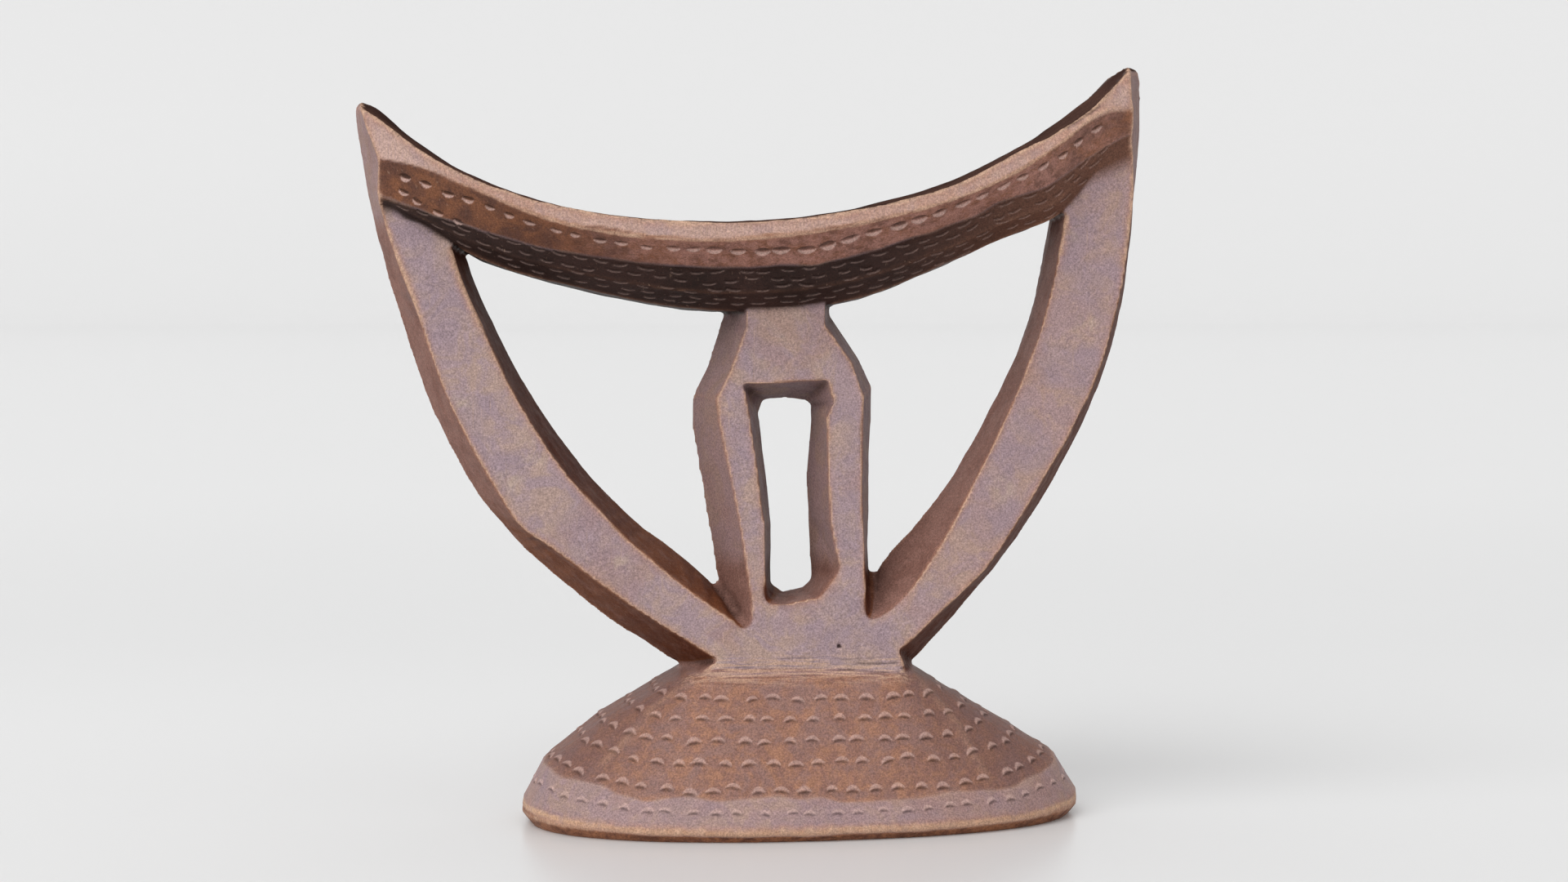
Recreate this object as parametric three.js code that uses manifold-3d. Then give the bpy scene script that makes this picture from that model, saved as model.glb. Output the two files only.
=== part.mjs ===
// A carved wooden headrest: a crescent rest held up by two curved struts and a
// slotted post, all meeting in a hub on an oval foot. Millimetres, +Z up,
// X along the rest, Y through it, origin at the centre of the foot's underside.
import * as THREE from 'three';
import { mergeVertices } from 'three/addons/utils/BufferGeometryUtils.js';
import Module from 'manifold-3d';

const wasm = await Module();
wasm.setup();

// ---- driving dimensions ---------------------------------------------------
const FRAME_HALF_DEPTH = 13; // struts, post and hub are twice this thick
const HUB_BASE_Z = 33; // where the hub stands on the foot
const HUB_TOP_Z = 56; // where the post's two legs leave the hub
const HUB_LEFT_X = -26; // where the left strut leaves the hub
const HUB_RIGHT_X = 25; // where the right strut leaves the hub
const POST_SPLIT_X = -3; // the plane between the post's two legs, inside the slot
const POST_HEAD_Z = 91; // where the legs join the post's head
const REST_SEAT_Z = 109; // where the rest sits on the post
const LEFT_HORN_Z = 120; // where the left strut joins the rest
const RIGHT_HORN_Z = 126; // where the right strut joins the rest
const STRUT_STATIONS = 40;
const REST_STATIONS = 52;
const FOOT_SIDES = 48;
const FAR = 400; // larger than the whole object, for the cutting boxes

// Colours, one for each member of the carving.
const WOOD = {
  face: { color: 0x8a6f66, roughness: 0.62 },
  rest: { color: 0x6b4a3c, roughness: 0.55 },
  foot: { color: 0x845a47, roughness: 0.6 },
};

// ---- solids ---------------------------------------------------------------

// A closed skin over a row of rings that all have the same number of points.
// Each ring runs the same way round; the two end rings are closed by fans.
function skinOver(rings) {
  const sides = rings[0].length;
  const points = rings.flat();
  const faces = [];
  for (let row = 0; row + 1 < rings.length; row += 1) {
    for (let side = 0; side < sides; side += 1) {
      const next = (side + 1) % sides;
      const a = row * sides + side;
      const b = row * sides + next;
      faces.push(a, b, b + sides, a, b + sides, a + sides);
    }
  }
  const ends = [{ row: 0, turn: -1 }, { row: rings.length - 1, turn: 1 }];
  for (const { row, turn } of ends) {
    const middle = new THREE.Vector3();
    rings[row].forEach((point) => middle.addScaledVector(point, 1 / sides));
    const hub = points.push(middle) - 1;
    for (let side = 0; side < sides; side += 1) {
      const a = row * sides + side;
      const b = row * sides + (side + 1) % sides;
      faces.push(...(turn > 0 ? [hub, a, b] : [hub, b, a]));
    }
  }
  return closedGeometry(points, faces);
}

// Indexed geometry whose faces point outwards, whichever way they were listed.
function closedGeometry(points, faces) {
  let volume = 0;
  for (let i = 0; i < faces.length; i += 3) {
    const [a, b, c] = [points[faces[i]], points[faces[i + 1]], points[faces[i + 2]]];
    volume += a.dot(new THREE.Vector3().crossVectors(b, c));
  }
  if (volume < 0) faces.reverse();
  const geometry = new THREE.BufferGeometry().setFromPoints(points);
  geometry.setIndex(faces);
  return geometry;
}

function solidOf(geometry) {
  geometry.deleteAttribute('normal');
  geometry.deleteAttribute('uv');
  const merged = mergeVertices(geometry);
  return new wasm.Manifold(new wasm.Mesh({
    numProp: 3,
    vertProperties: new Float32Array(merged.attributes.position.array),
    triVerts: new Uint32Array(merged.index.array),
  }));
}

// A box between two corners, used for cutting one member from the next.
function block(low, high) {
  const size = new THREE.Vector3().subVectors(high, low);
  const geometry = new THREE.BoxGeometry(size.x, size.y, size.z);
  geometry.translate(low.x + size.x / 2, low.y + size.y / 2, low.z + size.z / 2);
  return solidOf(geometry);
}

const zone = (xLow, xHigh, zLow, zHigh) => block(
  new THREE.Vector3(xLow, -FAR, zLow),
  new THREE.Vector3(xHigh, FAR, zHigh),
);

const smooth = (points) => new THREE.CatmullRomCurve3(points, false, 'centripetal');

// ---- struts ---------------------------------------------------------------

// A curved member with a six-sided section: flat front and back faces, and two
// bevels on each side that meet in a ridge halfway through the thickness.
// Each station gives [x, z] of the outer ridge, the outer and inner edges of
// the flat face and the inner ridge, and half the thickness there.
function strut(stations) {
  const rail = (index) => smooth(stations.map((s) => new THREE.Vector3(s[index][0], s[4], s[index][1])));
  const rails = [0, 1, 2, 3].map(rail);
  const rings = [];
  for (let i = 0; i <= STRUT_STATIONS; i += 1) {
    const [outerRidge, outerEdge, innerEdge, innerRidge] = rails.map((r) => r.getPoint(i / STRUT_STATIONS));
    const front = (p) => new THREE.Vector3(p.x, -p.y, p.z);
    const middle = (p) => new THREE.Vector3(p.x, 0, p.z);
    rings.push([
      middle(outerRidge), front(outerEdge), front(innerEdge),
      middle(innerRidge), innerEdge, outerEdge,
    ]);
  }
  return solidOf(skinOver(rings));
}

const leftStrutBody = () => strut([
  [[-95.2, 156.3], [-93.8, 153.9], [-89.4, 147.6], [-88.9, 147.6], 15.2],
  [[-96.3, 154.8], [-93.3, 152.4], [-88.0, 146.2], [-87.5, 146.2], 15.5],
  [[-96.2, 151.6], [-92.4, 149.4], [-84.6, 143.2], [-84.0, 143.2], 16.2],
  [[-95.1, 144.6], [-90.1, 143.6], [-80.2, 138.4], [-79.8, 138.4], 17.4],
  [[-94.0, 137.4], [-90.3, 135.8], [-79.0, 134.0], [-78.0, 134.0], 15.6],
  [[-92.6, 130.8], [-89.3, 130.6], [-76.0, 127.5], [-74.4, 127.0], 13.2],
  [[-90.3, 121.0], [-86.3, 121.0], [-73.6, 119.6], [-71.6, 119.0], FRAME_HALF_DEPTH],
  [[-86.6, 108.9], [-82.0, 110.0], [-69.4, 109.6], [-67.1, 108.6], FRAME_HALF_DEPTH],
  [[-80.6, 90.7], [-76.0, 92.2], [-62.0, 93.6], [-59.2, 93.2], FRAME_HALF_DEPTH],
  [[-71.0, 72.2], [-65.4, 72.4], [-50.8, 76.2], [-47.8, 77.2], FRAME_HALF_DEPTH],
  [[-64.4, 63.8], [-60.2, 64.6], [-44.4, 69.2], [-41.8, 70.4], FRAME_HALF_DEPTH],
  [[-57.8, 56.8], [-53.8, 60.2], [-37.6, 62.0], [-35.0, 64.2], FRAME_HALF_DEPTH],
  [[-41.6, 43.6], [-35.8, 47.0], [-24.2, 50.9], [-26.7, 57.7], FRAME_HALF_DEPTH],
  [[-25.8, 33.1], [-17.8, 35.6], [-11.8, 42.0], [-15.0, 47.0], FRAME_HALF_DEPTH],
]);

const rightStrutBody = () => strut([
  [[71.6, 164.1], [69.4, 162.6], [65.0, 155.0], [64.5, 155.0], 16.0],
  [[73.7, 163.1], [69.7, 161.4], [64.0, 153.6], [63.5, 153.6], 16.2],
  [[74.4, 155.6], [69.8, 154.6], [61.5, 148.0], [61.0, 148.0], 17.2],
  [[74.1, 145.0], [70.6, 145.4], [57.6, 139.0], [57.0, 139.0], 14.6],
  [[73.3, 137.0], [71.0, 137.0], [56.8, 134.0], [56.0, 134.0], FRAME_HALF_DEPTH],
  [[72.4, 125.0], [70.0, 125.0], [55.6, 126.0], [54.4, 126.5], FRAME_HALF_DEPTH],
  [[69.9, 108.4], [67.0, 108.4], [52.0, 109.6], [50.9, 110.1], FRAME_HALF_DEPTH],
  [[64.7, 91.9], [61.8, 93.0], [46.6, 94.6], [44.7, 95.0], FRAME_HALF_DEPTH],
  [[55.1, 72.8], [51.0, 73.2], [36.8, 73.8], [33.4, 74.7], FRAME_HALF_DEPTH],
  [[44.4, 56.5], [40.2, 56.4], [28.6, 58.6], [25.2, 63.8], FRAME_HALF_DEPTH],
  [[33.6, 43.7], [28.8, 45.2], [19.7, 47.1], [17.5, 54.9], FRAME_HALF_DEPTH],
  [[24.2, 33.6], [20.6, 37.4], [14.0, 44.0], [13.0, 46.0], FRAME_HALF_DEPTH],
]);

// ---- post and hub ---------------------------------------------------------

// A plate with bevelled sides: one outline halfway through its thickness and
// another, point for point, at its two faces.
function bevelledPlate(corners, halfDepth) {
  const outline = corners.map((corner) => new THREE.Vector2(...corner[1]));
  if (THREE.ShapeUtils.isClockWise(outline)) return bevelledPlate([...corners].reverse(), halfDepth);
  const ring = (index, y) => corners.map((c) => new THREE.Vector3(c[index][0], y, c[index][1]));
  const layers = [ring(1, -halfDepth), ring(0, 0), ring(1, halfDepth)];
  const sides = corners.length;
  const faces = [];
  for (const [a, b, c] of THREE.ShapeUtils.triangulateShape(outline, [])) {
    const flipped = THREE.ShapeUtils.isClockWise([outline[a], outline[b], outline[c]]);
    const [second, third] = flipped ? [c, b] : [b, c];
    faces.push(a, second, third);
    faces.push(a + 2 * sides, third + 2 * sides, second + 2 * sides);
  }
  for (let layer = 0; layer < 2; layer += 1) {
    for (let side = 0; side < sides; side += 1) {
      const a = layer * sides + side;
      const b = layer * sides + (side + 1) % sides;
      faces.push(a, b + sides, b, a, a + sides, b + sides);
    }
  }
  return solidOf(closedGeometry(layers.flat(), faces));
}

// The post from the hub to the rest, with a bottle shape: a narrow neck,
// shoulders and two legs. Corners run from the left neck down and round.
const postBody = () => bevelledPlate([
  [[-16.0, 114.0], [-11.8, 114.0]],
  [[-16.8, 109.6], [-12.2, 107.5]],
  [[-20.3, 98.6], [-15.5, 98.2]],
  [[-23.4, 92.6], [-18.3, 92.4]],
  [[-23.6, 86.0], [-18.0, 87.4]],
  [[-21.3, 73.2], [-15.1, 73.2]],
  [[-19.2, 60.5], [-12.8, 60.5]],
  [[-17.4, 49.0], [-10.9, 48.4]],
  [[-17.0, 38.0], [-11.0, 38.0]],
  [[16.0, 38.0], [14.0, 38.0]],
  [[15.2, 54.0], [13.5, 52.0]],
  [[15.0, 74.0], [12.7, 74.0]],
  [[15.6, 94.4], [13.0, 92.6]],
  [[13.0, 100.0], [10.6, 99.8]],
  [[6.5, 109.8], [4.7, 108.0]],
  [[6.4, 114.0], [4.7, 114.0]],
], FRAME_HALF_DEPTH);

// The slot through the post, wider at the faces than halfway through.
const slotBody = () => bevelledPlate([
  [[-8.2, 91.4], [-12.8, 95.4]],
  [[-3.4, 92.1], [-3.4, 95.8]],
  [[1.3, 91.5], [5.4, 96.2]],
  [[2.4, 90.6], [6.6, 91.6]],
  [[2.4, 86.8], [5.2, 87.8]],
  [[1.5, 75.0], [5.6, 76.0]],
  [[1.7, 66.0], [6.0, 66.0]],
  [[2.3, 52.0], [8.0, 55.6]],
  [[0.1, 49.9], [3.4, 49.4]],
  [[-3.6, 49.4], [-4.4, 47.8]],
  [[-6.3, 51.2], [-8.0, 48.4]],
  [[-6.4, 64.5], [-8.3, 65.6]],
  [[-9.0, 88.4], [-11.4, 88.0]],
], FRAME_HALF_DEPTH);

// The solid middle of the hub, between the two pockets beside the post.
const hubCore = () => bevelledPlate([
  [[-25.9, HUB_BASE_Z - 1], [-24.4, HUB_BASE_Z - 1]],
  [[-26.2, 33.8], [-18.6, 35.6]],
  [[-18.4, 51.8], [-11.8, 42.0]],
  [[16.4, 54.0], [13.9, 44.4]],
  [[24.4, 34.2], [21.0, 37.6]],
  [[24.0, HUB_BASE_Z - 1], [23.0, HUB_BASE_Z - 1]],
], FRAME_HALF_DEPTH);

// ---- crescent rest --------------------------------------------------------

// Lines that run along the rest from its left end to its right end. Each is
// [x, z] at twelve stations with the half depth of the rest along that line.
const REST_LINES = {
  crown: {
    at: [[-95.2, 156.3], [-91.8, 154.9], [-84.6, 148.7], [-72.0, 140.7], [-52.0, 133.8], [-24.0, 130.5],
      [4.0, 132.0], [30.0, 138.3], [43.0, 144.1], [53.6, 150.2], [64.0, 158.0], [71.6, 164.1]],
    y: [0, 0, 0, 0, 0, 0, 0, 0, 0, 0, 0, 0],
  },
  topEdge: {
    at: [[-93.8, 153.9], [-89.8, 151.5], [-84.2, 147.3], [-72.0, 139.9], [-52.0, 133.2], [-24.0, 129.7],
      [4.0, 131.2], [30.0, 137.2], [43.0, 143.6], [53.2, 148.9], [62.4, 155.0], [69.4, 162.4]],
    y: [15.2, 17.4, 20.6, 24.4, 27.4, 28.5, 28.5, 27.2, 25.2, 22.8, 19.4, 16],
  },
  rimLow: {
    at: [[-90.2, 143.4], [-86.6, 142.6], [-82.0, 141.5], [-71.0, 137.2], [-51.0, 129.4], [-24.0, 126.0],
      [4.0, 128.0], [31.0, 134.5], [43.6, 139.9], [53.6, 146.2], [63.0, 153.2], [70.2, 154.4]],
    y: [17.4, 18.9, 20.8, 24.6, 27.8, 28.8, 28.8, 27.5, 25.6, 23.6, 20.4, 17.4],
  },
  crease: {
    at: [[-90.3, 135.4], [-86.0, 133.9], [-81.0, 132.5], [-69.0, 128.3], [-50.0, 123.3], [-22.0, 119.8],
      [6.0, 121.2], [31.0, 128.6], [42.0, 134.6], [53.4, 137.4], [61.6, 145.2], [70.6, 149.2]],
    y: [15.6, 16.4, 17.2, 18.6, 19.7, 20.4, 20.4, 19.6, 19, 18, 16.8, 15.8],
  },
  bellyMiddle: {
    at: [[-90.2, 134.7], [-85.6, 132.6], [-80.6, 130.4], [-69.0, 125.2], [-50.0, 119.6], [-22.0, 115.1],
      [8.0, 117.0], [31.0, 124.5], [42.6, 129.8], [54.2, 134.4], [62.8, 142.9], [70.6, 148.2]],
    y: [14.8, 15.2, 15.6, 16.4, 17.2, 17.8, 17.8, 17.2, 16.8, 16.2, 15.4, 14.6],
  },
  bellyLow: {
    at: [[-90.2, 134.2], [-85.2, 131.6], [-80.0, 128.9], [-68.6, 122.0], [-50.0, 116.4], [-22.0, 111.3],
      [9.0, 112.9], [31.0, 121.2], [43.0, 126.7], [55.0, 131.7], [64.0, 140.4], [70.6, 147.2]],
    y: [13, 12.9, 12.8, 12.6, 12.4, 12.2, 12.2, 12.4, 12.5, 12.6, 12.8, 13],
  },
  keel: {
    at: [[-90.0, 133.8], [-85.0, 131.2], [-80.0, 128.4], [-68.6, 121.6], [-50.0, 116.0], [-22.0, 110.9],
      [9.0, 112.5], [31.0, 120.8], [43.0, 126.3], [55.0, 131.3], [64.0, 140.0], [70.4, 146.6]],
    y: [4, 4, 4, 4, 4, 4, 4, 4, 4, 4, 4, 4],
  },
};

function restBody() {
  const rails = Object.values(REST_LINES).map(({ at, y }) => (
    smooth(at.map(([x, z], i) => new THREE.Vector3(x, -y[i], z)))
  ));
  const rings = [];
  for (let i = 0; i <= REST_STATIONS; i += 1) {
    const front = rails.map((rail) => rail.getPoint(i / REST_STATIONS));
    const back = front.slice(1).reverse().map((p) => new THREE.Vector3(p.x, -p.y, p.z));
    rings.push([...front, ...back]);
  }
  return solidOf(skinOver(rings));
}

// ---- foot -----------------------------------------------------------------

// Oval rings from the underside up to the hub: half length, half depth, how
// square the oval is (2 is an ellipse), how far its middle is along X, its
// height at the front and at the ends, and how far it is turned, in degrees.
// The foot is carved slightly skewed, more so towards the ground.
const FOOT_RINGS = [
  { x: 59.4, y: 32.4, square: 2.3, middle: 0.2, front: 0, ends: 0, turn: 7 },
  { x: 61.2, y: 34.2, square: 2.3, middle: 0.2, front: 2.2, ends: 2.8, turn: 7 },
  { x: 60.9, y: 34.0, square: 2.3, middle: 0.3, front: 3.2, ends: 5.2, turn: 7 },
  { x: 56.0, y: 29.6, square: 2.5, middle: 0, front: 8.8, ends: 13.8, turn: 6 },
  { x: 42.2, y: 23.4, square: 2.9, middle: -1.5, front: 20.4, ends: 23.2, turn: 4.5 },
  { x: 25.0, y: 14.8, square: 6, middle: -0.9, front: HUB_BASE_Z, ends: HUB_BASE_Z, turn: 2.5 },
];

function footBody() {
  const rings = FOOT_RINGS.map((ring) => {
    const points = [];
    const power = 2 / ring.square;
    const upright = new THREE.Vector3(0, 0, 1);
    for (let side = 0; side < FOOT_SIDES; side += 1) {
      const angle = 2 * Math.PI * side / FOOT_SIDES;
      const along = Math.cos(angle);
      const across = Math.sin(angle);
      points.push(new THREE.Vector3(
        ring.middle + ring.x * Math.sign(along) * Math.abs(along) ** power,
        ring.y * Math.sign(across) * Math.abs(across) ** power,
        ring.front + (ring.ends - ring.front) * along ** 4,
      ).applyAxisAngle(upright, THREE.MathUtils.degToRad(ring.turn)));
    }
    return points;
  });
  return solidOf(skinOver(rings));
}

// ---- members --------------------------------------------------------------

const slot = slotBody();
const post = postBody().subtract(slot);
const hubZone = zone(HUB_LEFT_X, HUB_RIGHT_X, HUB_BASE_Z, HUB_TOP_Z);
const leftStrutWhole = leftStrutBody();
const rightStrutWhole = rightStrutBody();

const members = {
  foot: [footBody(), WOOD.foot],
  hub: [
    hubCore().subtract(slot).add(post).add(leftStrutWhole).add(rightStrutWhole).intersect(hubZone),
    WOOD.face,
  ],
  left_strut: [
    leftStrutWhole.subtract(hubZone).intersect(zone(-FAR, 0, HUB_BASE_Z, LEFT_HORN_Z)),
    WOOD.face,
  ],
  right_strut: [
    rightStrutWhole.subtract(hubZone).intersect(zone(0, FAR, HUB_BASE_Z, RIGHT_HORN_Z)),
    WOOD.face,
  ],
  post_left_leg: [post.intersect(zone(-FAR, POST_SPLIT_X, HUB_TOP_Z, POST_HEAD_Z)), WOOD.face],
  post_right_leg: [post.intersect(zone(POST_SPLIT_X, FAR, HUB_TOP_Z, POST_HEAD_Z)), WOOD.face],
  post_head: [post.intersect(zone(-FAR, FAR, POST_HEAD_Z, REST_SEAT_Z)), WOOD.face],
  head_rest: [
    restBody()
      .add(post.intersect(zone(-FAR, FAR, REST_SEAT_Z, FAR)))
      .add(leftStrutWhole.intersect(zone(-FAR, 0, LEFT_HORN_Z, FAR)))
      .add(rightStrutWhole.intersect(zone(0, FAR, RIGHT_HORN_Z, FAR))),
    WOOD.rest,
  ],
};

// ---- scene graph ----------------------------------------------------------

function meshOf(name, solid, look) {
  const { numProp, vertProperties, triVerts } = solid.getMesh();
  const geometry = new THREE.BufferGeometry();
  geometry.setAttribute('position', new THREE.BufferAttribute(new Float32Array(vertProperties), numProp));
  geometry.setIndex(new THREE.BufferAttribute(new Uint32Array(triVerts), 1));
  geometry.computeVertexNormals();
  const mesh = new THREE.Mesh(geometry, new THREE.MeshStandardMaterial({ ...look, metalness: 0 }));
  mesh.name = name;
  return mesh;
}

const headrest = new THREE.Group();
for (const [name, [solid, look]] of Object.entries(members)) {
  headrest.add(meshOf(name, solid, look));
}

export default headrest;
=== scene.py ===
"""A carved wooden headrest: crescent rest, two curved struts, slotted post, hub and oval foot.

The whole carving is made as one skin over the CAD solids, worn, faceted and tooled the way
a knife and a gouge leave it, and then parted into one closed piece for each CAD node.
Lengths are millimetres until a mesh is written, which is in metres.
"""

import math

import bmesh
import bpy
import numpy as np
from mathutils.kdtree import KDTree
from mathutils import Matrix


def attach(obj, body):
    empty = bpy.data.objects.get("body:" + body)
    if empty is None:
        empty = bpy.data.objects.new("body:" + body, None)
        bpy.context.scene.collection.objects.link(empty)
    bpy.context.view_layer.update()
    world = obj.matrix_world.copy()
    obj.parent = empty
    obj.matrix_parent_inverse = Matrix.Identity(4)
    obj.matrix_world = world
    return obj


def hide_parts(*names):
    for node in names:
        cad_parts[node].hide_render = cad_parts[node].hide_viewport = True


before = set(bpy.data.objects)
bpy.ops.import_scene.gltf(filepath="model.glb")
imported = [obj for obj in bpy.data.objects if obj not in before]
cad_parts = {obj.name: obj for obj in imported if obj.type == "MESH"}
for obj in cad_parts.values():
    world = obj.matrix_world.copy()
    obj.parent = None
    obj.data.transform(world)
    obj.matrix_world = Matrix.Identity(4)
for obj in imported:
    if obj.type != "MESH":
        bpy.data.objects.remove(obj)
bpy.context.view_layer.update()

MM = 0.001
FAR = 400.0  # beyond the carving on every side
VOXEL = 0.52
MARK_REACH = 2.5  # how far from the skin a mark may be planned
SEAM_REACH = 0.02  # how far from a cut a point may be and still count as on it

# ---- where each member of the carving ends -----------------------------------
# Outlines in X and Z, extruded through the whole depth. They meet edge to edge.
HUB_BASE_Z = 33.0
HUB_TOP_Z = 56.0
HUB_LEFT_X = -26.0
HUB_RIGHT_X = 25.0
POST_LEFT_X = -25.5
POST_RIGHT_X = 16.6
POST_SPLIT_X = -3.0
POST_HEAD_Z = 91.0
REST_SEAT_Z = 109.0
# The stepped cuts between the rest and each strut, from the post outwards.
LEFT_CUT = [
    (POST_LEFT_X, 100.0), (-55.0, 100.0), (-55.0, 112.0),
    (-66.5, 112.0), (-66.5, 120.0), (-FAR, 120.0),
]
RIGHT_CUT = [
    (POST_RIGHT_X, 100.0), (45.0, 100.0), (45.0, 112.0),
    (50.0, 112.0), (50.0, 126.0), (FAR, 126.0),
]


def box(left, right, low, high):
    """The outline of an upright box."""
    return [(left, low), (right, low), (right, high), (left, high)]


ZONES = {
    "foot": box(-FAR, FAR, -FAR, HUB_BASE_Z),
    "hub": box(HUB_LEFT_X, HUB_RIGHT_X, HUB_BASE_Z, HUB_TOP_Z),
    "left_strut": [
        (-FAR, HUB_BASE_Z), (HUB_LEFT_X, HUB_BASE_Z),
        (HUB_LEFT_X, HUB_TOP_Z), (POST_LEFT_X, HUB_TOP_Z),
        *LEFT_CUT,
    ],
    "right_strut": [
        (HUB_RIGHT_X, HUB_BASE_Z), (FAR, HUB_BASE_Z),
        *RIGHT_CUT[::-1],
        (POST_RIGHT_X, HUB_TOP_Z), (HUB_RIGHT_X, HUB_TOP_Z),
    ],
    "post_left_leg": box(POST_LEFT_X, POST_SPLIT_X, HUB_TOP_Z, POST_HEAD_Z),
    "post_right_leg": box(POST_SPLIT_X, POST_RIGHT_X, HUB_TOP_Z, POST_HEAD_Z),
    "post_head": box(POST_LEFT_X, POST_RIGHT_X, POST_HEAD_Z, REST_SEAT_Z),
    "head_rest": [
        *LEFT_CUT[::-1],
        (POST_LEFT_X, REST_SEAT_Z), (POST_RIGHT_X, REST_SEAT_Z),
        *RIGHT_CUT,
        (FAR, FAR), (-FAR, FAR),
    ],
}
MASKS = (
    "top", "flank", "polish", "belly", "rim", "bevel", "lit", "slot", "foot", "band",
    "shade", "foot_rim", "under", "joint", "pale", "edge", "near", "hollow", "lip", "pit_shade",
)
SLOTS = {"head_rest": "rest_wood", "foot": "foot_wood"}

# ---- lines that the zones and the tool marks follow -----------------------------
# Lines along the front of the rest, as (x, half depth, z), from its left end to its right.
RIM_LOW = [
    (-90.2, 17.4, 143.4), (-86.6, 18.9, 142.6), (-82.0, 20.8, 141.5), (-71.0, 24.6, 137.2),
    (-51.0, 27.8, 129.4), (-24.0, 28.8, 126.0), (4.0, 28.8, 128.0), (31.0, 27.5, 134.5),
    (43.6, 25.6, 139.9), (53.6, 23.6, 146.2), (63.0, 20.4, 153.2), (70.2, 17.4, 154.4),
]
CREASE = [
    (-90.3, 15.6, 135.4), (-86.0, 16.4, 133.9), (-81.0, 17.2, 132.5), (-69.0, 18.6, 128.3),
    (-50.0, 19.7, 123.3), (-22.0, 20.4, 119.8), (6.0, 20.4, 121.2), (31.0, 19.6, 128.6),
    (42.0, 19, 134.6), (53.4, 18, 137.4), (61.6, 16.8, 145.2), (70.6, 15.8, 149.2),
]
BELLY_LOW = [
    (-90.2, 13, 134.2), (-85.2, 12.9, 131.6), (-80.0, 12.8, 128.9), (-68.6, 12.6, 122.0),
    (-50.0, 12.4, 116.4), (-22.0, 12.2, 111.3), (9.0, 12.2, 112.9), (31.0, 12.4, 121.2),
    (43.0, 12.5, 126.7), (55.0, 12.6, 131.7), (64.0, 12.8, 140.4), (70.6, 13, 147.2),
]
# Ridges down the foot's front, as (x, z), where two of its broad cuts meet. The back has them turned about.
FOOT_RIDGES = [
    [(-22.0, 33.4), (-31.7, 26.6), (-37.8, 20.2), (-43.2, 14.8)],
    [(22.5, 33.8), (28.8, 27.3), (33.4, 21.8), (36.8, 15.1), (39.8, 10.5)],
]
# The slot of the post: its middle, half its width and how far up it reaches.
SLOT_X = -3.5
SLOT_HALF = 10.0
SLOT_LOW = 53.0
SLOT_HIGH = 102.0
# Where cuts run out softly instead of ending at an edge: x, z and how far around that reaches.
SOFT_PLACES = [
    (-11.5, 42.5, 4.5), (14.5, 45.5, 6.5), (20.5, 46.5, 6.5), (6.0, 52.5, 6.5), (-8.5, 49.5, 4.0),
]
# Pale rubbed patches on the front: x, z and size.
PALE_PATCHES = [
    (-73.4, 91.4, 2.6), (-59.5, 80.9, 2.4), (-56.0, 80.2, 2.0), (-62.5, 74.5, 2.4), (-39.2, 56.9, 2.4),
    (61.0, 107.7, 2.6), (43.5, 72.5, 2.2), (-20.0, 34.4, 3.4), (-13.0, 104.5, 2.6), (57.0, 128.5, 2.6),
]

# The foot's ovals: half length, half depth, squareness, middle, height at the front and at the ends, turn.
FOOT_BAND = (60.9, 34.0, 2.3, 0.3, 3.2, 5.2, 7)
FOOT_SHOULDER = (56.0, 29.6, 2.5, 0.0, 8.8, 13.8, 6)
FOOT_WAIST = (42.2, 23.4, 2.9, -1.5, 20.4, 23.2, 4.5)
FOOT_TOP = (25.0, 14.8, 6, -0.9, 33.0, 33.0, 2.5)

# ---- the tool marks: the gap from one to the next and the size of each ------------
FLANK_GOUGES = {"kind": "gouge", "gap": 4.85, "wide": 2.7, "tall": 2.3, "deep": 0.60, "swell": 0.55}
END_GOUGES = {"kind": "gouge", "gap": 4.4, "wide": 2.6, "tall": 1.8, "deep": 0.45, "start": 1.2}
BELLY_NICKS = {"kind": "nick", "gap": 4.9, "wide": 3.1, "tall": 0.9, "deep": 0.30}
SHOULDER_SCALES = {"kind": "scale", "gap": 5.0, "wide": 3.2, "tall": 2.7, "deep": 0.36}
WAIST_SCALES = {"kind": "scale", "gap": 5.0, "wide": 3.1, "tall": 2.6, "deep": 0.36}
BAND_SCALES = {"kind": "scale", "gap": 5.0, "wide": 2.9, "tall": 2.3, "deep": 0.26}
SWELL_X = 8  # the flank's gouges are largest here
SWELL_REACH = 34
NICK_ROWS = 5
NICK_ROW_GAP = 2.15
NICK_MARGIN = 0.9  # how far the nicks stay inside the belly
SHOULDER_LEVELS = (0.14, 0.60, 0.98)  # rows of scales from the shoulder to the waist
WAIST_LEVELS = (0.31, 0.64)  # rows of scales from the waist to the top
BAND_LEVEL = 0.52  # the row of scales from the band to the shoulder
WORMHOLE = {
    "at": np.array([7.7, -13.0, 38.7]),
    "runs": np.array([1.0, 0, 0]),
    "wide": 1.3,
    "tall": 1.3,
    "deep": 0.9,
    "turn": 0.0,
    "kind": "hole",
}

rng = np.random.default_rng(21)
CHANCES = rng.uniform(-1, 1, (32, 32, 32, 8))


# ---- small numeric helpers ------------------------------------------------------


def unit(v):
    return v / np.maximum(np.linalg.norm(v, axis=-1, keepdims=True), 1e-12)


def ramp(x, low, high):
    """0 below low, 1 above high and smooth between; low may be the larger of the two."""
    t = np.clip((x - low) / (high - low), 0, 1)
    return t * t * (3 - 2 * t)


def chance(cells, seed):
    """Eight numbers from -1 to 1 for each whole-number cell, always the same ones."""
    x, y, z = ((cells + 7 * seed) & 31).T
    return CHANCES[x, y, z]


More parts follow.
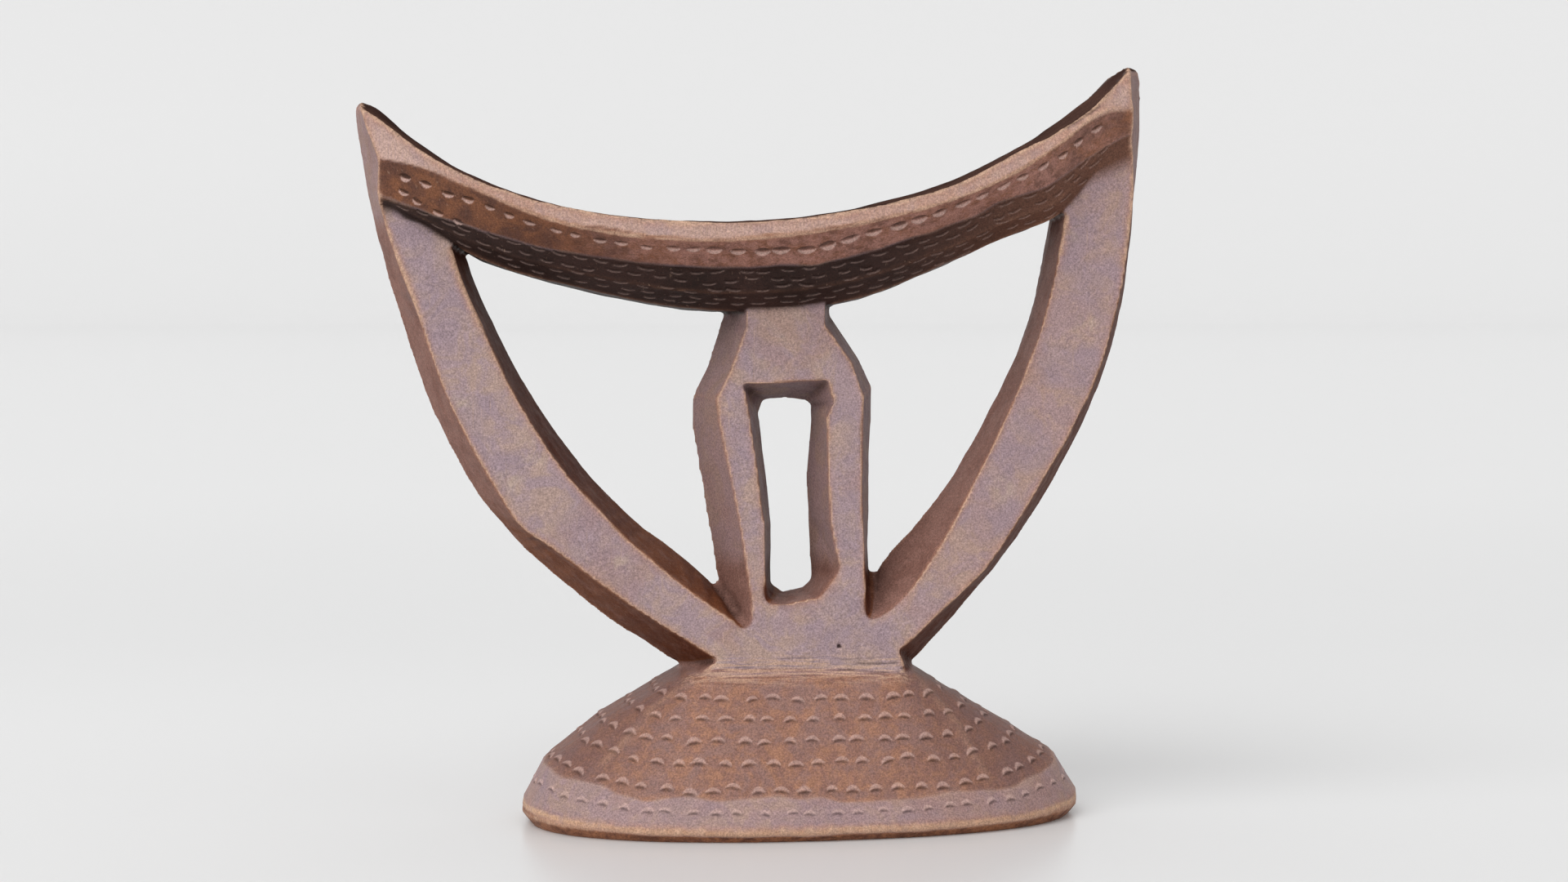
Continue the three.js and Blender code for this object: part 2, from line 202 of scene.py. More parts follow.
def noise(points, size, seed, octaves=2):
    """Smooth noise, about -1 to 1, whose largest features are size millimetres across."""
    total = np.zeros(len(points))
    for octave in range(octaves):
        p = points / size * 2**octave + 11.3 * octave
        cell = np.floor(p).astype(np.int64)
        t = p - cell
        t = t * t * (3 - 2 * t)
        for corner in range(8):
            step = np.array([corner & 1, corner >> 1 & 1, corner >> 2 & 1])
            x, y, z = np.where(step, t, 1 - t).T
            total += 0.5**octave * x * y * z * chance(cell + step, seed)[:, octave]
    return total


def facets(points, size, seed):
    """Knife cuts: flat patches about size millimetres across, each tilted and a little in or out."""
    p = points / size
    cell = np.floor(p).astype(np.int64)
    total = np.zeros(len(points))
    weights = np.zeros(len(points))
    for step in np.ndindex(3, 3, 3):
        near = cell + np.array(step) - 1
        lot = chance(near, seed)
        away = p - near - 0.5 - 0.45 * lot[:, :3]
        weight = np.exp(-14 * (away**2).sum(1))
        total += weight * (0.6 * (away * lot[:, 3:6]).sum(1) + 0.5 * lot[:, 6])
        weights += weight
    return total / np.maximum(weights, 1e-9)


# ---- the whole carving as one skin -----------------------------------------------


def object_of(name, mesh):
    obj = bpy.data.objects.new(name, mesh)
    bpy.context.scene.collection.objects.link(obj)
    return obj


def applied(obj):
    """The object's mesh with its modifiers applied, and the object removed."""
    graph = bpy.context.evaluated_depsgraph_get()
    mesh = bpy.data.meshes.new_from_object(obj.evaluated_get(graph), depsgraph=graph)
    bpy.data.objects.remove(obj)
    return mesh


def combined(mesh, other, operation):
    """A boolean of two closed meshes."""
    a = object_of("a", mesh)
    b = object_of("b", other)
    boolean = a.modifiers.new("boolean", "BOOLEAN")
    boolean.object = b
    boolean.operation = operation
    boolean.solver = "MANIFOLD"
    result = applied(a)
    bpy.data.objects.remove(b)
    return result


def welded(mesh):
    """A copy of a mesh with its split corners joined."""
    bm = bmesh.new()
    bm.from_mesh(mesh)
    bmesh.ops.remove_doubles(bm, verts=bm.verts, dist=1e-6)
    bm.verts.ensure_lookup_table()
    result = bpy.data.meshes.new("welded")
    bm.to_mesh(result)
    bm.free()
    return result


def block_of_wood():
    """All the CAD solids in one, as an even net of quads."""
    meshes = [welded(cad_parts[name].data) for name in ZONES]
    whole = meshes[0]
    for mesh in meshes[1:]:
        whole = combined(whole, mesh, "UNION")
    obj = object_of("whole", whole)
    remesh = obj.modifiers.new("remesh", "REMESH")
    remesh.mode = "VOXEL"
    remesh.voxel_size = VOXEL * MM
    return applied(obj)


def positions(mesh):
    co = np.zeros(len(mesh.vertices) * 3, np.float32)
    mesh.vertices.foreach_get("co", co)
    return co.reshape(-1, 3).astype(float) / MM


def edges_of(mesh):
    ends = np.zeros(len(mesh.edges) * 2, np.int32)
    mesh.edges.foreach_get("vertices", ends)
    return ends.reshape(-1, 2)


def write_positions(mesh, points):
    mesh.vertices.foreach_set("co", (points * MM).astype(np.float32).ravel())
    mesh.update()


def normals_of(mesh):
    n = np.zeros(len(mesh.vertices) * 3, np.float32)
    mesh.vertex_normals.foreach_get("vector", n)
    return n.reshape(-1, 3).astype(float)


class Net:
    """Who neighbours whom on a mesh, for smoothing values over it."""

    def __init__(self, mesh):
        self.ends = edges_of(mesh)
        self.size = len(mesh.vertices)
        self.count = np.bincount(self.ends.ravel(), minlength=self.size)

    def mean(self, values):
        a, b = self.ends.T
        columns = values.reshape(self.size, -1).T
        sums = [
            np.bincount(a, c[b], self.size) + np.bincount(b, c[a], self.size)
            for c in columns
        ]
        return (np.stack(sums, axis=1) / self.count[:, None]).reshape(values.shape)

    def smooth(self, values, rounds, share=0.6):
        for _ in range(rounds):
            values = values + share * (self.mean(values) - values)
        return values

    def even(self, points, rounds):
        """Smoothing that takes the steps out of a surface and keeps its size."""
        for _ in range(rounds):
            points = points + 0.60 * (self.mean(points) - points)
            points = points - 0.62 * (self.mean(points) - points)
        return points


# ---- tool marks -------------------------------------------------------------------


def along(line, count=240, window=31):
    """A smooth curve through the points of a line, at even steps of its x."""
    line = np.array(line, float)
    x = np.linspace(line[0, 0], line[-1, 0], count)
    kernel = np.hanning(window)
    kernel /= kernel.sum()
    columns = [x]
    for k in (1, 2):
        values = np.interp(x, line[:, 0], line[:, k])
        padded = np.pad(values, window // 2, mode="reflect", reflect_type="odd")
        columns.append(np.convolve(padded, kernel, "valid"))
    return np.stack(columns, axis=1)


def oval(ring, count=720):
    """One of the foot's ovals, as points all round it."""
    length, depth, square, middle, front, ends, turn = ring
    angle = np.linspace(0, 2 * math.pi, count, endpoint=False)
    c, s = np.cos(angle), np.sin(angle)
    power = 2 / square
    x = middle + length * np.sign(c) * np.abs(c) ** power
    y = depth * np.sign(s) * np.abs(s) ** power
    z = front + (ends - front) * c**4
    turn = math.radians(turn)
    turned_x = x * math.cos(turn) - y * math.sin(turn)
    turned_y = x * math.sin(turn) + y * math.cos(turn)
    return np.stack([turned_x, turned_y, z], axis=1)


def between(a, b, level):
    """The line that lies level of the way from line a to line b."""
    return a * (1 - level) + b * level


def spaced(line, gap, start, closed):
    """Points along a line about gap apart, with the unevenness of a hand, and the way it runs there."""
    if closed:
        line = np.vstack([line, line[:1]])
    lengths = np.r_[0, np.cumsum(np.linalg.norm(np.diff(line, axis=0), axis=1))]
    stops = np.arange(start, lengths[-1] - (0.6 * gap if closed else 0.2 * gap), gap)
    stops = stops + rng.uniform(-0.13, 0.13, len(stops)) * gap
    here, ahead, behind = [
        np.stack([np.interp(stops + step, lengths, line[:, k]) for k in range(3)], axis=1)
        for step in (0, 1, -1)
    ]
    return here, unit(ahead - behind)


def row(line, kind, gap, wide, tall, deep, start=0.0, closed=False, swell=0.0):
    """A row of marks along a line, none quite like the next."""
    marks = []
    for place, direction in zip(*spaced(line, gap, start, closed)):
        grown = 1 + swell * math.exp(-((place[0] - SWELL_X) / SWELL_REACH) ** 2)
        marks.append({
            "at": place + rng.normal(0, 0.30, 3) * [1, 0, 1],
            "runs": direction,
            "wide": wide * grown * rng.uniform(0.88, 1.15),
            "tall": tall * grown * rng.uniform(0.85, 1.15),
            "deep": deep * rng.uniform(0.75, 1.25),
            "turn": rng.normal(0, 0.10),
            "kind": kind,
        })
    return marks


def rest_rows():
    """The lines that the marks on the rest's front follow, each with its kind of mark."""
    rim, crease, low = along(RIM_LOW), along(CREASE), along(BELLY_LOW)
    x = rim[:, 0]
    # The long row dips where the post stands, and a short one climbs to the left end.
    level = (0.34 + 0.16 * np.exp(-((x + 2) / 11) ** 2))[:, None]
    yield between(rim, crease, level)[9:-8], FLANK_GOUGES
    level = np.clip(0.66 + 0.34 * (x + 88) / 17, 0, 1)[:, None]
    yield between(rim, crease, level)[6:30], END_GOUGES
    height = np.linalg.norm(crease - low, axis=1)
    for step in range(NICK_ROWS):
        down = NICK_MARGIN + NICK_ROW_GAP * step
        line = (crease + (low - crease) * (down / height)[:, None])[height > down + NICK_MARGIN]
        yield line[8:-4], {"start": 2.4 * (step % 2), **BELLY_NICKS}


def foot_rows():
    """The closed lines that the rows of scales on the foot follow, each with its kind of mark."""
    shoulder, waist, top, band = oval(FOOT_SHOULDER), oval(FOOT_WAIST), oval(FOOT_TOP), oval(FOOT_BAND)
    for level in SHOULDER_LEVELS:
        yield between(shoulder, waist, level), {"start": 5 * level, **SHOULDER_SCALES}
    for level in WAIST_LEVELS:
        yield between(waist, top, level), {"start": 6 * level, **WAIST_SCALES}
    yield between(band, shoulder, BAND_LEVEL), {"start": 1.0, **BAND_SCALES}


def tool_marks():
    """Every mark, as a dict of its place, its direction, its size and its kind."""
    marks = []
    for side in (-1, 1):
        for line, settings in rest_rows():
            marks += row(line * [1, side, 1], **settings)
    for line, settings in foot_rows():
        marks += row(line, closed=True, **settings)
    marks.append(WORMHOLE)
    return marks


def tree_of(points):
    tree = KDTree(len(points))
    for index, point in enumerate(points.tolist()):
        tree.insert(point, index)
    tree.balance()
    return tree


def cut_marks(mesh, marks):
    """How far the marks move each vertex in or out, with how much of it is bright lip, partly wear and
    partly painted highlight, and how much is painted shade in its pits.
    """
    points = positions(mesh)
    normals = normals_of(mesh)
    tree = tree_of(points)
    shift = np.zeros(len(points))
    lip = np.zeros(len(points))
    pit_shade = np.zeros(len(points))
    for mark in marks:
        place, _, distance = tree.find(mark["at"])
        if distance > MARK_REACH:
            continue
        reach = 0.5 * math.hypot(mark["wide"], mark["tall"]) * 1.3
        found = np.array([index for _, index, _ in tree.find_range(place, reach)])
        facing = unit(normals[found].mean(0))
        across = unit(mark["runs"] - facing * (mark["runs"] @ facing))
        up = np.cross(facing, across)
        if up[2] < 0:
            up, across = -up, -across
        spin = mark["turn"]
        right = across * math.cos(spin) + up * math.sin(spin)
        up = up * math.cos(spin) - across * math.sin(spin)
        away = points[found] - np.array(place)
        a = away @ right / (0.5 * mark["wide"])
        b = away @ up / (0.5 * mark["tall"])
        flat = ramp(normals[found] @ facing, 0.3, 0.6)
        change, bright, dark = PROFILES[mark["kind"]](a, b)
        shift[found] += change * mark["deep"] * flat
        lip[found] = np.maximum(lip[found], bright * flat)
        pit_shade[found] = np.maximum(pit_shade[found], dark * flat)
    return shift, lip, pit_shade


# Each profile below takes places on a mark, a across it and b up it, both -1 to 1 from edge to edge, and
# gives how far the wood moves in or out, how bright its lip is painted, partly as wear and partly as
# painted highlight, and how dark its pits are painted as shade.


def gouge(a, b):
    """A scoop: a thin upper wall with painted shade over a smiling lip with a painted highlight."""
    bulge = np.clip(1 - a**2, 0, 1)
    deepest = 0.25
    upper = 0.22 + 0.5 * bulge
    lower = 0.25 - 1.15 * bulge**0.7
    down = np.clip((upper - b) / (upper - deepest + 0.05), 0, 1)
    up = np.clip((b - lower) / (deepest - lower + 0.05), 0, 1)
    inside = ramp(bulge, 0.02, 0.25)
    lip = lower + 0.60 * bulge
    bright = ramp(up, 0, 0.12) * ramp(b, lip + 0.14, lip - 0.10) * inside
    dark = ramp(down, 0, 0.3) * ramp(b, lip, lip + 0.35) * inside
    return -np.minimum(down, up) * inside, 0.72 * bright, 0.9 * dark


def nick(a, b):
    """A shallow nick whose lower lip is a thin smile, lightened partly as wear and partly as painted
    highlight, with painted shade in its groove.
    """
    curve = b + 0.5 - 0.8 * a**2
    inside = ramp(np.abs(a), 1.05, 0.75)
    groove = np.exp(-((curve - 0.55) / 0.40) ** 2) * inside
    edge = np.exp(-((curve + 0.15) / 0.26) ** 2) * inside
    return 0.4 * edge - groove, 0.27 * edge, 0.3 * groove


def scale(a, b):
    """A lifted scale: a dome with a painted highlight, and a painted shadow as a dark crescent under its
    lower edge.
    """
    bulge = np.clip(1 - a**2, 0, 1)
    inside = ramp(bulge, 0.02, 0.3)
    crest = 0.30 * bulge - 0.50
    upper = 1.35 * bulge**0.6 - 0.5
    climb = np.clip((upper - b) / (upper - crest + 0.05), 0, 1)
    dome = climb**0.6 * ramp(b, crest - 0.12, crest + 0.06)
    under = np.exp(-(((b - crest + 0.10) / 0.24) ** 2)) * bulge
    light = ramp(climb, 0.02, 0.25) * ramp(climb, 1.0, 0.55) * ramp(b, crest - 0.1, crest + 0.1)
    return (0.7 * dome - 0.5 * under) * inside, 0.44 * light * inside, 0.80 * under * inside


def hole(a, b):
    """A round beetle hole with a sharp edge, painted shade inside it and a painted highlight on one side of
    its rim.
    """
    out = np.hypot(a, b)
    inside = ramp(out, 0.85, 0.5)
    return -inside, 0.8 * np.exp(-((out - 1) / 0.15) ** 2) * ramp(a - b, 0.2, 1), inside


PROFILES = {"gouge": gouge, "nick": nick, "scale": scale, "hole": hole}


def refined(mesh, marks):
    """The mesh with smaller faces wherever there is a tool mark."""
    points = positions(mesh)
    tree = tree_of(points)
    near = np.zeros(len(points), bool)
    for mark in marks:
        place, _, distance = tree.find(mark["at"])
        if distance < MARK_REACH:
            reach = 0.5 * mark["wide"] + 0.3
            index = np.array([i for _, i, _ in tree.find_range(place, reach)])
            high = np.abs(points[index, 2] - place[2]) < 0.5 * mark["tall"] + 0.5
            near[index[high]] = True
    bm = bmesh.new()
    bm.from_mesh(mesh)
    ends = edges_of(mesh)
    bm.edges.ensure_lookup_table()
    chosen = [bm.edges[i] for i in np.flatnonzero(near[ends].all(axis=1)).tolist()]
    bmesh.ops.subdivide_edges(bm, edges=chosen, cuts=1, use_grid_fill=True)
    finer = bpy.data.meshes.new("finer")
    bm.to_mesh(finer)
    bm.free()
    return finer


def write_masks(mesh, masks):
    for name, values in masks.items():
        attribute = mesh.attributes.get(name) or mesh.attributes.new(name, "FLOAT", "POINT")
        attribute.data.foreach_set("value", values.astype(np.float32))


def read_mask(mesh, name):
    values = np.zeros(len(mesh.vertices), np.float32)
    mesh.attributes[name].data.foreach_get("value", values)
    return values


# ---- shaping ------------------------------------------------------------------------


def carved():
    """The finished skin of the whole carving, with its masks as attributes."""
    mesh = block_of_wood()
    net = Net(mesh)
    # The steps of the voxels go, the edges come back sharper, and the soft places melt.
    points = net.even(positions(mesh), 4)
    points = points + 0.9 * (points - net.smooth(points, 6))
    melted = net.smooth(points, 30)
    share = softness(points)
    points = points + share[:, None] * (melted - points)
    write_positions(mesh, points)
    normals = normals_of(mesh)

    # Edges stand out over a smoother skin, and hollows lie below it.
    smooth = net.smooth(points, 6)
    edge = ramp(((points - smooth) * normals).sum(1), 0.06, 0.20)
    rounded = net.smooth(smooth, 6)
    broad = net.smooth(rounded, 30, share=0.9)
    hollow = ramp(((broad - points) * normals).sum(1), 0.14, 1.0)
    zones, lift, lines = zone_masks(points, unit(net.smooth(normals, 3)))
    zones["edge"] = np.maximum(edge, lines)
    zones["near"] = ramp(((points - broad) * normals).sum(1), 0.10, 0.75)
    zones["hollow"] = hollow * (1 - 0.75 * share)
    write_masks(mesh, zones)

    # Knife facets, a slow waviness, rougher cuts in the hollows and chips out of the edges.
    shift = 0.20 * facets(points, 10.0, 3) + 0.10 * noise(points, 5.0, 7) + lift
    shift += 0.45 * hollow * facets(points, 4.0, 9)
    shift -= 0.30 * edge * ramp(noise(points, 4.5, 12), 0.15, 0.85)
    shift -= 0.06
    standing = ramp(points[:, 2], 0.3, 1.6)
    points = points + normals * (shift * standing)[:, None]
    points[:, 2] = np.maximum(points[:, 2], 0)
    write_positions(mesh, points)

    marks = tool_marks()
    mesh = refined(mesh, marks)
    change, lip, pit_shade = cut_marks(mesh, marks)
    points = positions(mesh)
    write_positions(mesh, points + normals_of(mesh) * change[:, None])
    write_masks(mesh, {"lip": lip, "pit_shade": pit_shade})
    mesh.polygons.foreach_set("use_smooth", np.ones(len(mesh.polygons), bool))
    return mesh


def softness(points):
    """How much each point is melted, where the hub grows out of the foot and where cuts run out."""
    x, _, z = points.T
    share = ramp(np.abs(z - HUB_BASE_Z + 0.2), 2.4, 0.6)
    for soft_x, soft_z, reach in SOFT_PLACES:
        share = np.maximum(share, 0.85 * ramp(np.hypot(x - soft_x, z - soft_z), reach, 0.35 * reach))
    return share


def ring_height(ring, x, y):
    """How high one of the foot's ovals is in the direction of each point."""
    line = oval(ring)
    heading = np.arctan2(line[:, 1], line[:, 0])
    order = np.argsort(heading)
    return np.interp(np.arctan2(y, x), heading[order], line[order, 2], period=2 * math.pi)


def line_height(line, x):
    """How high a line along the rest is at each x."""
    line = along(line)
    return np.interp(x, line[:, 0], line[:, 2])


def rest_masks(points, normals, wave):
    """The masks of the rest, with where its sides and its two end faces are."""
    x, y, z = points.T
    rim_low, crease = line_height(RIM_LOW, x), line_height(CREASE, x)
    within = ramp(np.abs(y), 13.4, 14.6)
    at_tips = np.maximum(ramp(x, -88.5, -90), ramp(x, 68.6, 69.6)) * ramp(z, 128, 133)
    ends = ramp(np.abs(normals[:, 0]), 0.62, 0.85) * at_tips
    on_rest = np.maximum(within, ramp(z, rim_low + 0.2, rim_low + 1.2)) * (1 - ends)
    between_struts = ramp(x, -87, -84) * ramp(x, 71.5, 69)
    under_rest = ramp(normals[:, 2], -0.25, -0.6) * ramp(z, 108.6, 110.2) * between_struts
    sides = np.clip(within + under_rest, 0, 1) * (1 - ends)

    upper = ramp(normals[:, 2], 0.35, 0.7) * ramp(z, rim_low - 1.0, rim_low + 1.5)
    below_rim = ramp(z, rim_low + 0.25 + wave, rim_low - 0.25 + wave)
    flank = below_rim * ramp(z, crease - 0.4 + wave, crease + 0.4 + wave)
    belly = ramp(z, crease + 0.4 + wave, crease - 0.4 + wave)
    masks = {
        "top": upper,
        "flank": flank * on_rest * within * ramp(z, 100, 112),
        "polish": ramp(normals[:, 2], -0.2, -0.6) * flank * within * ramp(x, -62, -20),
        "belly": belly * sides * ramp(z, 100, 108.8),
        "rim": ramp(z, rim_low - 0.25 + wave, rim_low + 0.25 + wave) * (1 - upper) * on_rest,
    }
    return masks, sides, ends


def foot_masks(points, normals, wave):
    """The masks of the foot, how far its surface is lifted and where its light lines are."""
    x, y, z = points.T
    foot = ramp(z, HUB_BASE_Z + 0.8 + wave, HUB_BASE_Z - 0.8 + wave)
    shoulder = ring_height(FOOT_SHOULDER, x, y) + 1.0 * noise(points, 9.0, 41) - 0.4
    band = foot * ramp(z, shoulder + 0.3, shoulder - 0.3)
    rim_height = ring_height(FOOT_BAND, x, y) - 0.9 + 0.5 * wave
    turned = np.where(y < 0, x, -x)
    ridge = np.zeros(len(points))
    for line in FOOT_RIDGES:
        line = np.array(line)[::-1]
        sideways = turned - np.interp(z, line[:, 1], line[:, 0])
        along_it = ramp(z, line[0, 1] - 2, line[0, 1] + 2) * ramp(z, line[-1, 1], line[-1, 1] - 2)
        ridge = np.maximum(ridge, np.exp(-((sideways / 1.0) ** 2)) * along_it)
    shoulder_line = foot * np.exp(-(((z - shoulder) / 0.4) ** 2))
    masks = {
        "foot": foot,
        "band": band,
        # painted shade on the foot's sides, those that face left or right
        "shade": foot * ramp(np.abs(normals[:, 0]), 0.10, 0.50),
        "foot_rim": foot * ramp(np.abs(z - rim_height), 0.85, 0.25),
        "under": foot * ramp(z, rim_height - 0.4, rim_height - 1.0),
    }
    lift = 0.20 * band + 0.30 * ridge * foot * (1 - band)
    lines = np.maximum(0.2 * shoulder_line, 0.16 * ridge * foot * (1 - band))
    return masks, lift, lines


def zone_masks(points, normals):
    """Where each part of the surface is, from 0 to 1, how far it is lifted and where light lines run."""
    x, y, z = points.T
    wave = 0.45 * noise(points, 7.0, 31)
    masks, rest_sides, rest_ends = rest_masks(points, normals, wave)
    foot_only, lift, lines = foot_masks(points, normals, wave)
    masks.update(foot_only)

    # Every face that isn't turned to the front or the back is one of the frame's bevels.
    sloping = ramp(np.abs(normals[:, 1]), 0.93, 0.75)
    post = ramp(x, -25, -23) * ramp(x, 17.5, 16) * ramp(z, 54, 60)
    bevel = sloping * (1 - masks["foot"]) * (1 - 0.45 * post) * (1 - 0.45 * rest_ends)
    # Painted shade inside the slot: where its walls lie, most of all its floor and top.
    slot = ramp(np.abs(x - SLOT_X), SLOT_HALF + 0.5, SLOT_HALF - 0.5)
    slot = sloping * slot * ramp(z, SLOT_LOW, SLOT_LOW + 2) * ramp(z, SLOT_HIGH, SLOT_HIGH - 2)
    pale = np.zeros(len(points))
    for pale_x, pale_z, size in PALE_PATCHES:
        away = np.hypot(x - pale_x, z - pale_z) / size
        pale = np.maximum(pale, np.exp(-(away**2)) * (y < 0) * ramp(noise(points, 1.6, 51), -0.5, 0.6))
    masks.update({
        "bevel": bevel * (1 - masks["top"]) * (1 - rest_sides),
        # painted light and shade: how far each face turns towards the key light, up and to the left; bevels
        # are painted lighter there and darker where turned away
        "lit": ramp(normals @ np.array([-0.62, 0, 0.5]), -0.35, 0.45),
        "slot": slot * (0.45 + 0.55 * np.abs(normals[:, 2])),
        "joint": ramp(np.abs(z - HUB_BASE_Z - 1.0), 4.0, 1.0) * ramp(np.abs(y), 12, 12.8),
        "pale": pale,
    })
    return masks, lift, lines


# ---- one closed piece for each CAD node ---------------------------------------------


def prism(outline):
    """A solid as deep as the object, over an outline in X and Z."""
    bm = bmesh.new()
    face = bm.faces.new([bm.verts.new((x * MM, -FAR * MM, z * MM)) for x, z in outline])
    extruded = bmesh.ops.extrude_face_region(bm, geom=[face])["geom"]
    moved = [part for part in extruded if isinstance(part, bmesh.types.BMVert)]
    bmesh.ops.translate(bm, vec=(0, 2 * FAR * MM, 0), verts=moved)
    bmesh.ops.recalc_face_normals(bm, faces=bm.faces)
    bmesh.ops.triangulate(bm, faces=bm.faces)
    mesh = bpy.data.meshes.new("zone")
    bm.to_mesh(mesh)
    bm.free()
    return mesh


def keep_shading(part, seam, skin_normals):
    """Gives the skin's own normals to the corners on a seam, so that no line shows between pieces."""
    corners = np.zeros(len(part.loops), np.int32)
    part.loops.foreach_get("vertex_index", corners)
    counts = np.zeros(len(part.polygons), np.int32)
    part.polygons.foreach_get("loop_total", counts)
    facing = np.zeros(len(part.polygons) * 3, np.float32)
    part.polygons.foreach_get("normal", facing)
    facing = np.repeat(facing.reshape(-1, 3), counts, axis=0)
    wanted = np.zeros((len(part.vertices), 3))
    wanted[seam] = skin_normals
    chosen = wanted[corners]
    chosen[(facing * chosen).sum(1) < 0.5] = 0  # the cut faces keep their flat normals
    part.normals_split_custom_set(chosen.tolist())


def parted(mesh):
    """The skin cut into one closed piece for each CAD node."""
    tree = tree_of(positions(mesh))
    masks = {name: read_mask(mesh, name) for name in MASKS}
    normals = normals_of(mesh)
    pieces = {}
    for node, outline in ZONES.items():
        part = combined(mesh.copy(), prism(outline), "INTERSECT")
        points = positions(part)
        gap_x = np.abs(points[:, :1] - np.array([x for x, _ in outline])).min(1)
        gap_z = np.abs(points[:, 2:] - np.array([z for _, z in outline])).min(1)
        seam = np.flatnonzero(np.minimum(gap_x, gap_z) < SEAM_REACH)
        nearest = [tree.find(point)[1] for point in points[seam].tolist()]
        for name, values in masks.items():
            own = read_mask(part, name)
            own[seam] = values[nearest]
            write_masks(part, {name: own})
        keep_shading(part, seam, normals[nearest])
        pieces[node] = object_of("carved_" + node, part)
    return pieces


# ---- materials -------------------------------------------------------------------------


class Wood:
    """A node material of one carved wood, with every colour and bump worked from position and masks."""

    def __init__(self, name):
        self.material = bpy.data.materials.new(name)
        self.material.use_nodes = True
        self.tree = self.material.node_tree
        self.shader = self.tree.nodes["Principled BSDF"]
        self.place = self.node("ShaderNodeTexCoord").outputs["Object"]
        split = self.node("ShaderNodeSeparateXYZ")
        self.feed(split.inputs[0], self.place)
        self.x = split.outputs["X"]
        # The patterns that several colours share.
        self.broad = self.noise(22, 4, 0.6, twist=0.6)
        self.middle = self.noise(7, 5, 0.65, twist=0.8)
        self.small = self.noise(2.4, 5, 0.7)
        self.speck = self.noise(0.55, 3, 0.7)
        self.grain = self.noise(0.34, 2, 0.6)
        self.gate = self.noise(9, 2, 0.5)
        self.scratches = self.crossed_scratches()

    def node(self, kind, **settings):
        made = self.tree.nodes.new(kind)
        for key, value in settings.items():
            setattr(made, key, value)
        return made

    def feed(self, socket, value):
        if isinstance(value, bpy.types.NodeSocket):
            self.tree.links.new(value, socket)
        elif isinstance(value, tuple) and len(value) == 3 and socket.type == "RGBA":
            socket.default_value = (*value, 1)
        else:
            socket.default_value = value

    def mask(self, name):
        return self.node("ShaderNodeAttribute", attribute_name=name).outputs["Fac"]

    def maths(self, operation, a, b):
        made = self.node("ShaderNodeMath", operation=operation)
        self.feed(made.inputs[0], a)
        self.feed(made.inputs[1], b)
        return made.outputs[0]

    def range(self, value, low, high, to_low=0.0, to_high=1.0):
        """to_low where the value is low, to_high where it is high and smooth between."""
        made = self.node("ShaderNodeMapRange", interpolation_type="SMOOTHSTEP")
        for socket, setting in zip(made.inputs, (value, low, high, to_low, to_high)):
            self.feed(socket, setting)
        return made.outputs[0]

    def mix(self, share, a, b, blend="MIX"):
        made = self.node("ShaderNodeMix", data_type="RGBA", blend_type=blend)
        self.feed(made.inputs[0], share)
        self.feed(made.inputs[6], a)
        self.feed(made.inputs[7], b)
        return made.outputs[2]

    def tint(self, colour, other, where, strength):
        """The colour, shifted towards another by a strength wherever a mask says so."""
        return self.mix(self.maths("MULTIPLY", where, strength), colour, other)

    def stretched(self, turn, stretch):
        """The place, turned and then squeezed, so that a pattern on it comes out long in one direction."""
        made = self.node("ShaderNodeMapping")
        self.feed(made.inputs["Vector"], self.place)
        made.inputs["Rotation"].default_value = [math.radians(a) for a in turn]
        made.inputs["Scale"].default_value = stretch
        return made.outputs[0]

    def noise(self, size, detail, rough, place=None, twist=0.0):
        """Noise whose features are about size millimetres across, about 0.5 on average."""
        made = self.node("ShaderNodeTexNoise")
        self.feed(made.inputs["Vector"], place or self.place)
        made.inputs["Scale"].default_value = 1 / (size * MM)
        made.inputs["Detail"].default_value = detail
        made.inputs["Roughness"].default_value = rough
        made.inputs["Distortion"].default_value = twist
        return made.outputs["Fac"]

    def crossed_scratches(self):
        """Thin scratches in two directions, in some places only."""
        strokes = self.noise(0.55, 3, 0.6, self.stretched((0, 38, 0), (1, 1, 0.03)))
        counter = self.noise(0.6, 3, 0.6, self.stretched((0, -52, 0), (1, 1, 0.04)))
        both = self.maths("MAXIMUM", self.range(strokes, 0.64, 0.74), self.range(counter, 0.66, 0.76))
        return self.maths("MULTIPLY", both, self.range(self.gate, 0.40, 0.60))


def srgb(r, g, b):
    """A colour as it looks, from 0 to 255, in the linear values that a shader takes."""
    return tuple((c / 255 / 12.92) if c <= 10 else ((c / 255 + 0.055) / 1.055) ** 2.4 for c in (r, g, b))


FACE_MAUVE = srgb(162, 139, 142)
FACE_VIOLET = srgb(149, 130, 140)
FACE_TAN = srgb(172, 146, 136)
FACE_RUST = srgb(158, 120, 106)
FACE_PALE = srgb(194, 172, 150)
BEVEL_MAUVE = srgb(138, 102, 92)
BEVEL_BROWN = srgb(116, 70, 47)
BEVEL_DARK = srgb(82, 43, 30)
RIM_TAN = srgb(188, 157, 144)
RIM_MAUVE = srgb(166, 139, 138)
RIM_WARM = srgb(204, 163, 130)
FLANK_RED = srgb(126, 81, 57)
FLANK_DARK = srgb(94, 61, 49)
FLANK_POLISH = srgb(172, 126, 114)
BELLY_DARK = srgb(38, 21, 16)
BELLY_GREY = srgb(52, 32, 27)
BELLY_BROWN = srgb(100, 66, 52)
TOP_DARK = srgb(54, 39, 36)
TOP_BROWN = srgb(80, 57, 50)
FOOT_BROWN = srgb(138, 100, 88)
FOOT_RUST = srgb(158, 114, 92)
FOOT_PURPLE = srgb(136, 107, 103)
FOOT_SHADE = srgb(100, 70, 66)
RIM_LINE = srgb(200, 164, 134)
UNDER_RUST = srgb(150, 98, 66)
WORN = srgb(200, 164, 140)
EDGE_RUST = srgb(166, 118, 94)
LIP = srgb(214, 180, 170)
DIRT_AND_SHADE = srgb(48, 28, 21)


